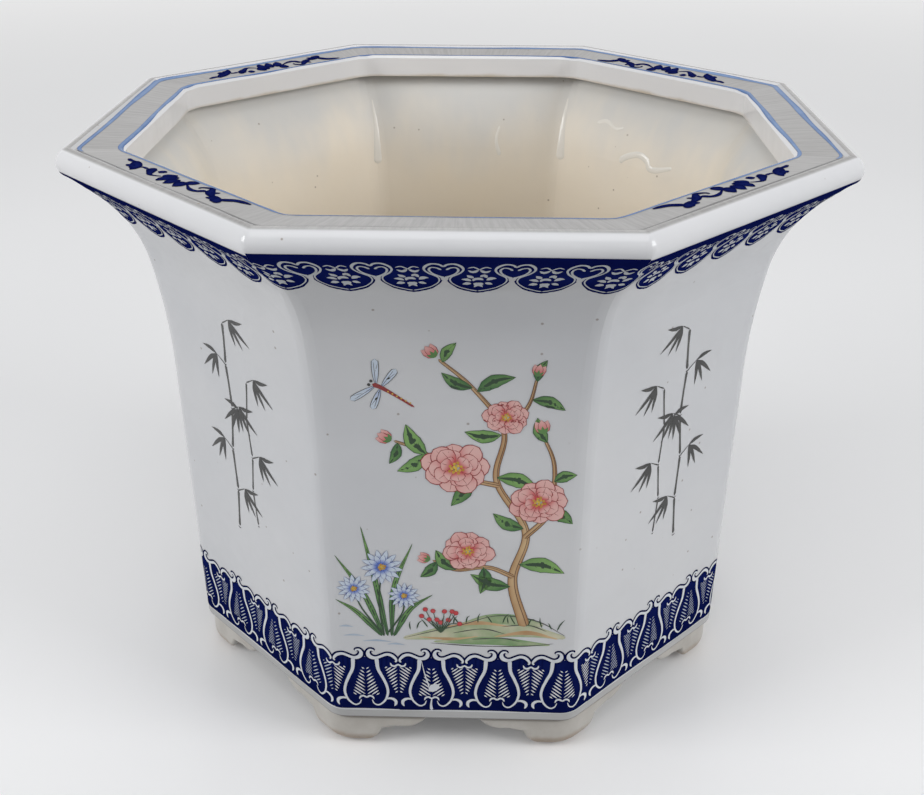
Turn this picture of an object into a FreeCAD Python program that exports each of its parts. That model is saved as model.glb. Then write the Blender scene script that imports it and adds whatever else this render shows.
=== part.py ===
"""Octagonal porcelain planter, slab-built: floor slab, wall panels, rim strips and bracket feet."""
import FreeCAD, Part
import math
import os

from FreeCAD import Vector

# Plan. An apothem is the distance from the upright axis to the middle of a side.
SIDES = 8
BASE_APOTHEM = 156.5
WALL_CORNER_RADIUS = 14.0
INNER_CORNER_RADIUS = 18.0

# Wall panel, from its foot to the underside of the rim. A lean is measured from the upright.
WALL_THICKNESS = 9.0
SHAFT_HEIGHT = 166.0
SHAFT_LEAN = math.radians(0.66)
SWELL_RADIUS = 373.0
SWELL_LEAN = math.radians(10.3)
FLARE_RADIUS = 73.0
FLARE_LEAN = math.radians(48.0)
SHOULDER_HEIGHT = 8.0

# Rim strip, a slab that tilts towards the axis, with a rounded lip that stands up along its outer edge
RIM_TILT = math.radians(5.3)
LIP_RADIUS = 7.5
LIP_OVERHANG = 4.1
LIP_SWEEP = math.radians(80.0)
LIP_CORNER_RADIUS = 6.0
LIP_BAND_WIDTH = 9.8
LIP_RISE = 1.2
CREST_TILT = math.radians(25.0)
CREST_RADIUS = 2.4
COLLAR_OVERHANG = 13.6
COLLAR_CORNER_RADIUS = 18.0
COLLAR_EDGE_CHAMFER = 1.4
LIP_CORNER_SHARE = 0.8

# Floor slab
FLANGE_THICKNESS = 6.0
FLANGE_EDGE_RADIUS = 2.0
PLATEAU_HEIGHT = 5.0

# Bracket foot
FOOT_HEIGHT = 22.0
FOOT_THICKNESS = 18.0
FOOT_CORNER_RADIUS = 22.0
FOOT_EDGE_RADIUS = 9.0
TOE_REACH = 24.6
TOE_START_SLOPE = math.radians(12.0)
TOE_END_SLOPE = math.radians(70.0)
WING_LENGTH = 50.5
WING_ROOT_DEPTH = 10.2
WING_END_DEPTH = 8.4
WING_TIP_LENGTH = 17.0
ARCH_EDGE_RADIUS = 2.5

# How far a cutting tool runs past what it cuts
OVERRUN = 20.0

FACE_NAMES = ("right", "back_right", "back", "back_left", "left", "front_left", "front", "front_right")
CORNER_NAMES = ("right_back", "back_right", "back_left", "left_back",
                "left_front", "front_left", "front_right", "right_front")

# Levels, worked out upwards from the surface that the pot stands on
SIDE_ANGLE = 2 * math.pi / SIDES
HALF_ANGLE = SIDE_ANGLE / 2
FLANGE_LEVEL = FOOT_HEIGHT
WALL_FOOT_LEVEL = FLANGE_LEVEL + FLANGE_THICKNESS
SHAFT_TOP_LEVEL = WALL_FOOT_LEVEL + SHAFT_HEIGHT
SWELL_TOP_LEVEL = SHAFT_TOP_LEVEL + SWELL_RADIUS * (math.sin(SWELL_LEAN) - math.sin(SHAFT_LEAN))
FLARE_TOP_LEVEL = SWELL_TOP_LEVEL + FLARE_RADIUS * (math.sin(FLARE_LEAN) - math.sin(SWELL_LEAN))
RIM_LEVEL = FLARE_TOP_LEVEL + SHOULDER_HEIGHT
LIP_CENTRE_LEVEL = RIM_LEVEL + math.sqrt(LIP_RADIUS ** 2 - (LIP_RADIUS - LIP_OVERHANG) ** 2)
TOP_LEVEL = LIP_CENTRE_LEVEL + LIP_RADIUS
BAND_LEVEL = TOP_LEVEL - LIP_RISE

# Apothems that the walls hand on to the rim, the floor and the feet
SHAFT_TOP_APOTHEM = BASE_APOTHEM + SHAFT_HEIGHT * math.tan(SHAFT_LEAN)
SWELL_TOP_APOTHEM = SHAFT_TOP_APOTHEM + SWELL_RADIUS * (math.cos(SHAFT_LEAN) - math.cos(SWELL_LEAN))
FLARE_TOP_APOTHEM = SWELL_TOP_APOTHEM + FLARE_RADIUS * (math.cos(SWELL_LEAN) - math.cos(FLARE_LEAN))
WALL_TOP_APOTHEM = FLARE_TOP_APOTHEM + SHOULDER_HEIGHT * math.tan(FLARE_LEAN)
WALL_TOP_INNER_APOTHEM = WALL_TOP_APOTHEM - WALL_THICKNESS / math.cos(FLARE_LEAN)
LIP_APOTHEM = WALL_TOP_APOTHEM + LIP_OVERHANG
COLLAR_APOTHEM = WALL_TOP_INNER_APOTHEM - COLLAR_OVERHANG
BAND_APOTHEM = LIP_APOTHEM - LIP_BAND_WIDTH
COLLAR_TOP_LEVEL = BAND_LEVEL - (BAND_APOTHEM - COLLAR_APOTHEM) * math.tan(RIM_TILT)
FLOOR_APOTHEM = BASE_APOTHEM - WALL_THICKNESS / math.cos(SHAFT_LEAN)
FLOOR_LEVEL = WALL_FOOT_LEVEL + PLATEAU_HEIGHT
FOOT_APOTHEM = BASE_APOTHEM - FLANGE_EDGE_RADIUS

# Toe of a foot: flat below, then an arc that steepens until it meets the wing
TOE_RADIUS = (FOOT_HEIGHT - WING_ROOT_DEPTH) / (math.cos(TOE_START_SLOPE) - math.cos(TOE_END_SLOPE))
TOE_FLAT = TOE_REACH - TOE_RADIUS * (math.sin(TOE_END_SLOPE) - math.sin(TOE_START_SLOPE))


def point(apothem, level):
    """Place on the upright plane in which every outline is drawn."""
    return Vector(apothem, 0, level)


def line(start, end):
    """Straight edge between two places."""
    return Part.LineSegment(start, end).toShape()


def arc(start, middle, end):
    """Round edge through three places."""
    return Part.Arc(start, middle, end).toShape()


def turned(shape, angle):
    """Copy of a shape turned about the pot's axis."""
    copy = shape.copy()
    copy.rotate(Vector(), Vector(0, 0, 1), math.degrees(angle))
    return copy


def octagon(outline, corner_radius=0):
    """Solid body whose eight sides all rise along one outline, with the standing corners rounded if asked."""
    start = outline[0].firstVertex(True).Point
    end = outline[-1].lastVertex(True).Point
    reach = max(edge.BoundBox.XMax for edge in outline) + OVERRUN
    far_end = point(-reach, end.z)
    far_start = point(-reach, start.z)
    loop = outline + [line(end, far_end), line(far_end, far_start), line(far_start, start)]
    slab = Part.Face(Part.Wire(loop)).extrude(Vector(0, 2 * reach, 0))
    slab.translate(Vector(0, -reach, 0))
    body = slab
    for side in range(1, SIDES):
        body = body.common(turned(slab, side * SIDE_ANGLE))
    body = body.removeSplitter().Solids[0]
    corners = [edge for edge in body.Edges if not level_edge(edge)]
    return body.makeFillet(corner_radius, corners) if corner_radius else body


def heights(edge):
    """Heights of both ends and the middle of an edge."""
    middle = (edge.FirstParameter + edge.LastParameter) / 2
    return [edge.valueAt(place).z for place in (edge.FirstParameter, middle, edge.LastParameter)]


def level_edge(edge):
    """Whether an edge stays at one height."""
    return max(heights(edge)) - min(heights(edge)) < Part.Precision.confusion()


def prism(apothem, low, high, corner_radius):
    """Upright eight-sided block."""
    return octagon([line(point(apothem, low), point(apothem, high))], corner_radius)


def round_lower_edge(body, radius):
    """Round the edges of the face that a body stands on."""
    low = body.BoundBox.ZMin
    return body.makeFillet(radius, [edge for edge in body.Edges if max(heights(edge)) < low + radius / 2])


def round_crest(ring):
    """Round the edge along the top of the lip."""
    halfway = (BAND_LEVEL + TOP_LEVEL) / 2
    edges = [edge for edge in ring.Edges if not edge.Degenerated and min(heights(edge)) > halfway]
    return ring.makeFillet(CREST_RADIUS, edges)


def sector(low, high, middle_angle):
    """Wedge from the axis outwards that takes up one side of the octagon."""
    reach = (LIP_APOTHEM + OVERRUN) / math.cos(HALF_ANGLE)
    tips = [Vector(0, 0, low)]
    for angle in (middle_angle - HALF_ANGLE, middle_angle + HALF_ANGLE):
        tips.append(Vector(reach * math.cos(angle), reach * math.sin(angle), low))
    return Part.Face(Part.makePolygon(tips + tips[:1])).extrude(Vector(0, 0, high - low))


def wall_outline(depth):
    """Outline of the wall at a depth inside its outer face, run past its foot and its top."""
    def sunk(apothem, level, lean):
        return point(apothem - depth * math.cos(lean), level + depth * math.sin(lean))

    def swell(lean):
        return sunk(SHAFT_TOP_APOTHEM + SWELL_RADIUS * (math.cos(SHAFT_LEAN) - math.cos(lean)),
                    SHAFT_TOP_LEVEL + SWELL_RADIUS * (math.sin(lean) - math.sin(SHAFT_LEAN)), lean)

    def flare(lean):
        return sunk(SWELL_TOP_APOTHEM + FLARE_RADIUS * (math.cos(SWELL_LEAN) - math.cos(lean)),
                    SWELL_TOP_LEVEL + FLARE_RADIUS * (math.sin(lean) - math.sin(SWELL_LEAN)), lean)

    shaft_run = SHAFT_HEIGHT + OVERRUN
    foot = swell(SHAFT_LEAN) - point(shaft_run * math.tan(SHAFT_LEAN), shaft_run)
    shoulder_run = SHOULDER_HEIGHT + OVERRUN
    brow = flare(FLARE_LEAN) + point(shoulder_run * math.tan(FLARE_LEAN), shoulder_run)
    return [line(foot, swell(SHAFT_LEAN)),
            arc(swell(SHAFT_LEAN), swell((SHAFT_LEAN + SWELL_LEAN) / 2), swell(SWELL_LEAN)),
            arc(flare(SWELL_LEAN), flare((SWELL_LEAN + FLARE_LEAN) / 2), flare(FLARE_LEAN)),
            line(flare(FLARE_LEAN), brow)]


def seat_wedge():
    """Space under the tilted seat of the right side's rim strip, up to the wall's outer top edge."""
    run = WALL_TOP_APOTHEM - COLLAR_APOTHEM + OVERRUN
    outer = point(WALL_TOP_APOTHEM, RIM_LEVEL)
    inner = outer - point(run, 0)
    low = inner - point(0, run * math.tan(RIM_TILT))
    side = LIP_APOTHEM
    wedge = Part.Face(Part.makePolygon([outer, inner, low, outer])).extrude(Vector(0, 2 * side, 0))
    wedge.translate(Vector(0, -side, 0))
    return wedge.common(sector(low.z, RIM_LEVEL, 0))


def wall_panel():
    """Panel of the right side, cut to a mitre at both corners and to the rim's tilt at its top."""
    shell = octagon(wall_outline(0), WALL_CORNER_RADIUS)
    shell = shell.cut(octagon(wall_outline(WALL_THICKNESS), INNER_CORNER_RADIUS))
    return shell.common(sector(WALL_FOOT_LEVEL, RIM_LEVEL, 0)).cut(seat_wedge())


def dish_outline():
    """Top of the rim from inside the collar out to the band line, and on up the inner side of the lip."""
    run = BAND_APOTHEM - COLLAR_APOTHEM + OVERRUN
    band = point(BAND_APOTHEM, BAND_LEVEL)
    foot = band - point(run, run * math.tan(RIM_TILT))
    brow = band + point(run, run * math.tan(CREST_TILT))
    return [line(foot, band), line(band, brow)]


def collar_edge_outline():
    """Slope that takes the sharp edge off the collar's top."""
    foot = point(COLLAR_APOTHEM - OVERRUN, COLLAR_TOP_LEVEL - COLLAR_EDGE_CHAMFER - OVERRUN)
    return [line(foot, foot + point(2 * OVERRUN, 2 * OVERRUN))]


def rim_strip():
    """Strip of the right side: rounded lip, dished top, upright collar and tilted seat."""
    centre = point(LIP_APOTHEM - LIP_RADIUS, LIP_CENTRE_LEVEL)
    brow = centre + point(LIP_RADIUS * math.cos(LIP_SWEEP), LIP_RADIUS * math.sin(LIP_SWEEP))
    lip = arc(point(WALL_TOP_APOTHEM, RIM_LEVEL), centre + point(LIP_RADIUS, 0), brow)
    ring = octagon([lip], min(LIP_CORNER_RADIUS, LIP_CORNER_SHARE * LIP_RADIUS))
    ring = round_crest(ring.cut(octagon(dish_outline())))
    strip = ring.common(sector(RIM_LEVEL, TOP_LEVEL, 0)).fuse(seat_wedge())
    strip = strip.cut(prism(COLLAR_APOTHEM, RIM_LEVEL - OVERRUN, TOP_LEVEL + OVERRUN, COLLAR_CORNER_RADIUS))
    return strip.cut(octagon(collar_edge_outline(), COLLAR_CORNER_RADIUS)).removeSplitter()


def floor_slab():
    """Flange that the walls stand on, with a plateau that fills the space between their feet."""
    flange = prism(BASE_APOTHEM, FLANGE_LEVEL, WALL_FOOT_LEVEL, WALL_CORNER_RADIUS)
    flange = round_lower_edge(flange, FLANGE_EDGE_RADIUS)
    plateau = prism(FLOOR_APOTHEM, FLANGE_LEVEL + FLANGE_EDGE_RADIUS, FLOOR_LEVEL, INNER_CORNER_RADIUS)
    return flange.fuse(plateau).removeSplitter()


def foot_arch():
    """Opening under the middle of the right side, from the toe of one foot to the toe of the next."""
    corner = FOOT_APOTHEM * math.tan(HALF_ANGLE)
    diagonal = math.sqrt(0.5)
    depth = FOOT_APOTHEM - FOOT_THICKNESS - OVERRUN

    def place(from_corner, level):
        return Vector(depth, corner - from_corner, level)

    def toe(slope):
        return place(TOE_FLAT + TOE_RADIUS * (math.sin(slope) - math.sin(TOE_START_SLOPE)),
                     TOE_RADIUS * (math.cos(TOE_START_SLOPE) - math.cos(slope)))

    toe_start = toe(TOE_START_SLOPE)
    toe_side = toe((TOE_START_SLOPE + TOE_END_SLOPE) / 2)
    cusp = toe(TOE_END_SLOPE)
    wing_end = place(WING_LENGTH - WING_TIP_LENGTH, FOOT_HEIGHT - WING_END_DEPTH)
    tip_side = place(WING_LENGTH - WING_TIP_LENGTH * (1 - diagonal), FOOT_HEIGHT - WING_END_DEPTH * diagonal)
    tip = place(WING_LENGTH, FOOT_HEIGHT)
    middle_low = place(corner, -OVERRUN)
    middle_high = place(corner, FOOT_HEIGHT)
    below_toe = place(TOE_FLAT, -OVERRUN)
    loop = [line(below_toe, toe_start), arc(toe_start, toe_side, cusp), line(cusp, wing_end),
            arc(wing_end, tip_side, tip), line(tip, middle_high), line(middle_high, middle_low),
            line(middle_low, below_toe)]
    half = Part.Face(Part.Wire(loop)).extrude(Vector(FOOT_THICKNESS + 2 * OVERRUN, 0, 0))
    return half.fuse(half.mirror(Vector(), Vector(0, 1, 0)))


def round_arch_edges(foot):
    """Round the edges in which the two arches meet the foot's outer face."""
    corner = FOOT_APOTHEM * math.tan(HALF_ANGLE)
    edges = []
    for edge in foot.Edges:
        middle = edge.valueAt((edge.FirstParameter + edge.LastParameter) / 2)
        for angle in (0, SIDE_ANGLE):
            apothem = middle.x * math.cos(angle) + middle.y * math.sin(angle)
            along = abs(middle.y * math.cos(angle) - middle.x * math.sin(angle))
            outer = apothem > FOOT_APOTHEM - FOOT_EDGE_RADIUS / 2
            if outer and corner - along > TOE_FLAT and not level_edge(edge):
                edges.append(edge)
    return foot.makeFillet(ARCH_EDGE_RADIUS, edges)


def bracket_foot():
    """Foot under the first corner anticlockwise from the right side."""
    ring = prism(FOOT_APOTHEM, 0, FOOT_HEIGHT, FOOT_CORNER_RADIUS)
    ring = round_lower_edge(ring, FOOT_EDGE_RADIUS)
    inner = FOOT_APOTHEM - FOOT_THICKNESS
    ring = ring.cut(prism(inner, -OVERRUN, FOOT_HEIGHT + OVERRUN, FOOT_CORNER_RADIUS))
    foot = ring.common(sector(0, FOOT_HEIGHT, HALF_ANGLE))
    arch = foot_arch()
    return round_arch_edges(foot.cut(arch).cut(turned(arch, SIDE_ANGLE)))


def write(name, shape):
    """Write one piece, which is a single closed solid."""
    solid, = shape.Solids
    solid.exportStep(os.path.join("parts", name + ".step"))


def main():
    os.makedirs("parts", exist_ok=True)
    write("floor_slab", floor_slab())
    for kind, shape, names in (("wall", wall_panel(), FACE_NAMES), ("rim", rim_strip(), FACE_NAMES),
                               ("foot", bracket_foot(), CORNER_NAMES)):
        for side, name in enumerate(names):
            write(kind + "_" + name, turned(shape, side * SIDE_ANGLE))


main()
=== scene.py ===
"""Looks of an octagonal porcelain planter: clear glaze, brush lines, printed borders and painted panels."""
import math
from bisect import bisect_left

import bpy
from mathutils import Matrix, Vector
from mathutils.bvhtree import BVHTree


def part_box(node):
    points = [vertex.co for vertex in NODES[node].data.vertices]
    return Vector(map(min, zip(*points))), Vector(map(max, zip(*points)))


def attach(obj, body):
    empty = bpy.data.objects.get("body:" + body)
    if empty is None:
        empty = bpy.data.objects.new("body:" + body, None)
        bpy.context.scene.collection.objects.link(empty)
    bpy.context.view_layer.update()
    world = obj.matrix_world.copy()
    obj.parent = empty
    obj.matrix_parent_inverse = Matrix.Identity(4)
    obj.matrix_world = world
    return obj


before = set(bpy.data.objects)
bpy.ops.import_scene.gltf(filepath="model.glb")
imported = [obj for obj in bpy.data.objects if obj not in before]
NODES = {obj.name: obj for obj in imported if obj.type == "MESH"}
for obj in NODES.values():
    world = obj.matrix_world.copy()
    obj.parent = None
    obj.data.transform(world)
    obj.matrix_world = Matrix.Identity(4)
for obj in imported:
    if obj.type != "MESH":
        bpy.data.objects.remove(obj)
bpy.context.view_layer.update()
MM = 0.001
EIGHTH = math.pi / 4
CORNER_RADIUS = 14 * MM
WALL_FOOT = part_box("wall_front")[0].z
WALL_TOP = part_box("wall_front")[1].z

# Metres: where rays start, past the whole pot or just outside the wall, and how close points are joined.
BEYOND = 0.4
OUTSET = 0.02
WELD = 0.00001

# Levels in metres between which one look gives way to another.
INSIDE_PALES = (0.235, 0.300)
# Below these levels a brownish painted shadow lies under the rim's collar.
COLLAR_SHADE_LEVELS = (0.3022, 0.3055)
FLANGE_GROOVE = (0.0231, 0.0237)
FOOT_JOIN = (0.0195, 0.0209)
TOE_WEAR = (0.0038, 0.0100)

# How far paint lies above the glaze, in mm. A step is what each next stroke adds, and a run is set in.
GROUND_LIFT = 0.10
DRAWING_LIFT = 0.17
TORN_LIFT = 0.19
RIM_LINE_LIFT = 0.08
SPRIG_LIFT = 0.11
SPRIG_STEP = 0.004
BLADE_LIFT = 0.12
TWIG_LIFT = 0.14
LEAF_LIFT = 0.17
BUD_LIFT = 0.19
BLOOM_LIFT = 0.20
STROKE_STEP = 0.0015
RUN_SINK = 0.05

# Distances of the brush lines on the rim from the axis, across the flats, in mm.
FRONT_LINE = 190.3
OUTER_LINE = 189.4
INNER_LINE = 171.6

GOLDEN_ANGLE = 137.5

# The camera that was fitted to the photo.
FOCAL_LENGTH = 45.37
SENSOR_WIDTH = 36.0
CAMERA_PLACE = (0.0179, -0.6454, 0.4766)
CAMERA_DIP = 27.43
CAMERA_LEAN = -0.0021
CAMERA_TURN = 0.0277

# Name, place, aim, size in metres and power in watts.
SOFTBOXES = (("left_softbox", (-1.9, -0.72, 1.2), (0, 0, 0.2), 1.1, 23.5),
             ("right_softbox", (1.9, -0.72, 1.2), (0, 0, 0.2), 1.1, 23.5),
             ("front_softbox", (0.0, -0.8, 2.2), (0, 0.05, 0.2), 1.4, 8.0),
             ("back_softbox", (0.0, 1.6, 2.0), (0, 0, 0.2), 1.4, 10.0))


class Value:
    """A shader socket on which Python's operators add Math nodes."""

    def __init__(self, tree, socket):
        self.tree = tree
        self.socket = socket

    def add(self, kind, inputs, output=0, **settings):
        """Add a node of one kind with its settings, then the values or links of its sockets."""
        node = self.tree.nodes.new(kind)
        for name, setting in settings.items():
            setattr(node, name, setting)
        for name, value in inputs.items():
            if isinstance(value, Value):
                self.tree.links.new(value.socket, node.inputs[name])
            else:
                node.inputs[name].default_value = value
        return Value(self.tree, node.outputs[output])

    def math(self, operation, first, second):
        return self.add("ShaderNodeMath", {0: first, 1: second}, operation=operation)

    def __add__(self, other):
        return self.math("ADD", self, other)

    def __sub__(self, other):
        return self.math("SUBTRACT", self, other)

    def __rsub__(self, other):
        return self.math("SUBTRACT", other, self)

    def __mul__(self, other):
        return self.math("MULTIPLY", self, other)

    def most(self, other):
        return self.math("MAXIMUM", self, other)

    def ramp(self, low, high):
        """0 below low, 1 above high, and a soft step between."""
        inputs = {"Value": self, "From Min": low, "From Max": high}
        return self.add("ShaderNodeMapRange", inputs, interpolation_type="SMOOTHSTEP", clamp=True)

    def blend(self, low, high):
        """Colour between two others."""
        return self.add("ShaderNodeMix", {0: self, 6: low, 7: high}, output=2, data_type="RGBA")

    def noise(self, scale, detail, rough=0.5, stretch=None):
        """Cloudy value round a half, in features of about one part in scale of a metre."""
        place = self
        if stretch:
            place = self.add("ShaderNodeMapping", {"Vector": self, "Scale": stretch})
        inputs = {"Vector": place, "Scale": scale, "Detail": detail, "Roughness": rough}
        return self.add("ShaderNodeTexNoise", inputs, noise_dimensions="3D")

    def part(self, index):
        """One number of a vector."""
        return self.add("ShaderNodeSeparateXYZ", {0: self}, output=index)

    def dot(self, other):
        return self.add("ShaderNodeVectorMath", {0: self, 1: other}, output=1, operation="DOT_PRODUCT")

    def length(self):
        return self.add("ShaderNodeVectorMath", {0: self}, output=1, operation="LENGTH")


def rgb(red, green, blue):
    return (red, green, blue, 1.0)


class Finish:
    """One material: its shader, and where a point of the surface is."""

    def __init__(self, name, roughness):
        self.material = bpy.data.materials.new(name)
        self.material.use_nodes = True
        tree = self.material.node_tree
        self.shader = tree.nodes["Principled BSDF"]
        self.shader.inputs["IOR"].default_value = 1.5
        self.shader.inputs["Roughness"].default_value = roughness
        self.tree = tree
        self.any = Value(tree, None)
        self.place = self.any.add("ShaderNodeTexCoord", {}, output=3)
        self.facing = self.any.add("ShaderNodeTexCoord", {}, output=1)

    def attribute(self, name):
        return self.any.add("ShaderNodeAttribute", {}, output=2, attribute_name=name)

    def feed(self, socket, value):
        self.tree.links.new(value.socket, self.shader.inputs[socket])

    def bump(self, height, distance):
        inputs = {"Height": height, "Distance": distance, "Strength": 1.0}
        self.feed("Normal", self.any.add("ShaderNodeBump", inputs))

    def specks(self, scale, size, share):
        """Mask of small round spots, in a share of the cells of a scattered grid."""
        cells = {"Vector": self.place, "Scale": scale}
        near = self.any.add("ShaderNodeTexVoronoi", cells, feature="F1")
        tint = self.any.add("ShaderNodeTexVoronoi", cells, output=1, feature="F1")
        chosen = tint.part(0).ramp(1 - share - 0.02, 1 - share + 0.02)
        return (1 - near.ramp(size * scale * 0.55, size * scale)) * chosen


def outer_mask(finish):
    """1 on the faces that look away from the upright axis, 0 on those that look towards it."""
    inputs = {0: finish.place, 1: (1.0, 1.0, 0.0)}
    flat = finish.any.add("ShaderNodeVectorMath", inputs, operation="MULTIPLY")
    return flat.dot(finish.facing).ramp(-0.02, 0.02)


def soft_skin(finish, depth=0.0045):
    """Slow unevenness of a hand-pressed slab under a thick clear glaze."""
    swell = finish.place.noise(9.0, 2.0) + finish.place.noise(38.0, 2.0) * 0.16
    finish.bump(swell, depth)


def wall_glaze():
    """Cool white outside; inside cream that pales towards the rim, with iron specks."""
    finish = Finish("white_glaze", 0.09)
    level = finish.place.part(2)
    cloud = finish.place.noise(7.0, 3.0)
    outside = cloud.ramp(0.35, 0.7).blend(rgb(0.655, 0.665, 0.685), rgb(0.70, 0.705, 0.715))
    drips = (finish.place.noise(26.0, 3.0, 0.6, (1.0, 1.0, 0.22)) - 0.5) * 0.07
    height = level + (finish.place.noise(11.0, 3.0) - 0.5) * 0.045 + drips
    cream = cloud.ramp(0.3, 0.7).blend(rgb(0.775, 0.695, 0.565), rgb(0.825, 0.755, 0.645))
    inside = height.ramp(*INSIDE_PALES).blend(cream, rgb(0.61, 0.605, 0.585))
    outer = outer_mask(finish)
    finish.feed("Roughness", 0.55 - outer * 0.46)
    base = outer.blend(inside, outside)
    spots = finish.specks(120.0, 0.0009, 0.22)
    finish.feed("Base Color", (spots * 0.55).blend(base, rgb(0.20, 0.14, 0.09)))
    soft_skin(finish)
    return finish.material


def rim_glaze():
    """White glaze on the lip, painted lighter than the walls' white; the wiped, dished top greyer and
    streaked, and painted far darker as shade; a brownish painted shadow under the collar.
    """
    finish = Finish("rim_glaze", 0.09)
    up = finish.facing.part(2)
    round_axis = finish.place.math("ARCTAN2", finish.place.part(1), finish.place.part(0))
    across = finish.place.length()
    brushed = finish.any.add("ShaderNodeCombineXYZ", {0: round_axis * 9.0, 1: across * 6.0})
    wiped = brushed.noise(9.0, 3.0, 0.65)
    # The up-facing top: wiped, greyer glaze, painted far darker than the lip as shade on it.
    top = wiped.ramp(0.32, 0.66).blend(rgb(0.315, 0.307, 0.30), rgb(0.37, 0.362, 0.352))
    cloud = finish.place.noise(9.0, 3.0)
    # The lip's white is painted lighter than the walls' white, as light falling on it.
    white = cloud.ramp(0.35, 0.7).blend(rgb(0.76, 0.765, 0.78), rgb(0.80, 0.80, 0.81))
    # Facing up gives the dark painted-shade top, facing out the light lip.
    base = up.ramp(0.86, 0.965).blend(white, top)
    low = finish.place.part(2) + (finish.place.noise(45.0, 3.0) - 0.5) * 0.004
    # Painted shadow under the overhanging collar, brownish and laid at the back only; partly pooled glaze.
    shade_under_collar = (1 - low.ramp(*COLLAR_SHADE_LEVELS)) * (1 - outer_mask(finish))
    collar_shadow = shade_under_collar * finish.place.part(1).ramp(-0.02, 0.12)
    base = (collar_shadow * 0.8).blend(base, rgb(0.47, 0.38, 0.26))
    spots = finish.specks(120.0, 0.0008, 0.12)
    finish.feed("Base Color", (spots * 0.6).blend(base, rgb(0.24, 0.16, 0.10)))
    soft_skin(finish, 0.003)
    return finish.material


def floor_glaze():
    """White glaze on the flange edge that shows under the walls, painted darker grey as shade there; cream on
    the floor inside.
    """
    finish = Finish("floor_glaze", 0.12)
    cloud = finish.place.noise(11.0, 3.0)
    # Flange edge: the white glaze painted darker grey, as the shade under the walls.
    edge = cloud.ramp(0.3, 0.7).blend(rgb(0.44, 0.44, 0.435), rgb(0.50, 0.50, 0.495))
    inside = cloud.ramp(0.3, 0.7).blend(rgb(0.66, 0.59, 0.48), rgb(0.72, 0.65, 0.54))
    base = finish.facing.part(2).ramp(0.4, 0.6).blend(edge, inside)
    groove = 1 - finish.place.part(2).ramp(*FLANGE_GROOVE)
    base = (groove * 0.9).blend(base, rgb(0.12, 0.11, 0.10))
    finish.feed("Base Color", base)
    soft_skin(finish, 0.003)
    return finish.material


def foot_glaze():
    """Thin greyish glaze, rubbed brown round the toes where the bare body shows."""
    finish = Finish("foot_glaze", 0.28)
    level = finish.place.part(2)
    cloud = finish.place.noise(30.0, 4.0, 0.6)
    base = cloud.ramp(0.3, 0.7).blend(rgb(0.49, 0.46, 0.415), rgb(0.595, 0.57, 0.525))
    worn = 1 - (level + (cloud - 0.5) * 0.010).ramp(*TOE_WEAR)
    base = (worn * 0.9).blend(base, rgb(0.36, 0.25, 0.16))
    join = level.ramp(*FOOT_JOIN)
    finish.feed("Base Color", (join * 0.7).blend(base, rgb(0.20, 0.17, 0.14)))
    finish.bump(cloud, 0.0012)
    return finish.material


def paint(name, thin, thick, gloss=1.5, cloud_scale=90.0, cloud=0.5):
    """Colour under the clear glaze: thin where the brush was dry, thick where it pooled."""
    finish = Finish(name, 0.11)
    finish.shader.inputs["IOR"].default_value = gloss
    load = finish.attribute("load") + (finish.place.noise(cloud_scale, 3.0) - 0.5) * cloud
    finish.feed("Base Color", load.ramp(0.0, 1.0).blend(rgb(*thin), rgb(*thick)))
    return finish.material


def surface(*starts):
    """Search tree over the CAD nodes whose names begin so."""
    points, faces = [], []
    for name, node in NODES.items():
        if name.startswith(starts):
            first = len(points)
            points += [vertex.co.copy() for vertex in node.data.vertices]
            faces += [[first + index for index in face.vertices] for face in node.data.polygons]
    return BVHTree.FromPolygons(points, faces)


OUTSIDE = surface("wall_", "rim_")
RIM = surface("rim_")


def climb_table(step=0.5 * MM, highest=0.3125):
    """Way up the middle of the front, as distances along the surface, levels and apothems."""
    ways, levels, apothems = [], [], []
    level = WALL_FOOT + step / 100
    while level < highest:
        hit = OUTSIDE.ray_cast(Vector((0.0003, -BEYOND, level)), Vector((0, 1, 0)))[0]
        if hit:
            if levels:
                ways.append(ways[-1] + math.hypot(level - levels[-1], -hit.y - apothems[-1]))
            else:
                ways.append(0.0)
            levels.append(level)
            apothems.append(-hit.y)
        level += step
    return ways, levels, apothems


WAYS, LEVELS, APOTHEMS = climb_table()
TOP_WAY = WAYS[bisect_left(LEVELS, WALL_TOP)]


def climb(way):
    """Level and apothem a way up the wall."""
    index = min(max(bisect_left(WAYS, way), 1), len(WAYS) - 1)
    share = (way - WAYS[index - 1]) / (WAYS[index] - WAYS[index - 1])
    share = min(max(share, 0.0), 1.0)
    return tuple(table[index - 1] + share * (table[index] - table[index - 1])
                 for table in (LEVELS, APOTHEMS))


def heading(angle):
    """Level way that looks so far round the axis."""
    return Vector((math.cos(angle), math.sin(angle), 0))


def octagon(turn, apothem, radius):
    """Place on a round-cornered octagon, so many sides on from mid-front, and the way out there."""
    side = math.floor(turn + 0.5)
    half = (apothem - radius) * math.tan(EIGHTH / 2)
    run = (turn - side) * 2 * (half + radius * EIGHTH / 2)
    facing = side * EIGHTH - math.pi / 2
    bend = facing + math.copysign(max(abs(run) - half, 0) / radius, run)
    out = heading(facing)
    along = Vector((-out.y, out.x, 0))
    toward = heading(bend)
    return out * (apothem - radius) + along * max(-half, min(half, run)) + toward * radius, toward


def on_wall(turn, way, lift):
    """Point on the outer glaze, lifted clear of it."""
    level, apothem = climb(way)
    place, toward = octagon(turn, apothem, CORNER_RADIUS)
    place.z = level
    hit, normal = OUTSIDE.ray_cast(place + toward * OUTSET, -toward)[:2]
    if hit is None:
        hit, normal = OUTSIDE.find_nearest(place)[:2]
    return hit + normal * lift


def rim_under(place):
    """Where the rim's top is straight under a place, and the way it looks."""
    return RIM.ray_cast(place + Vector((0, 0, BEYOND)), Vector((0, 0, -1)))[:2]


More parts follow.
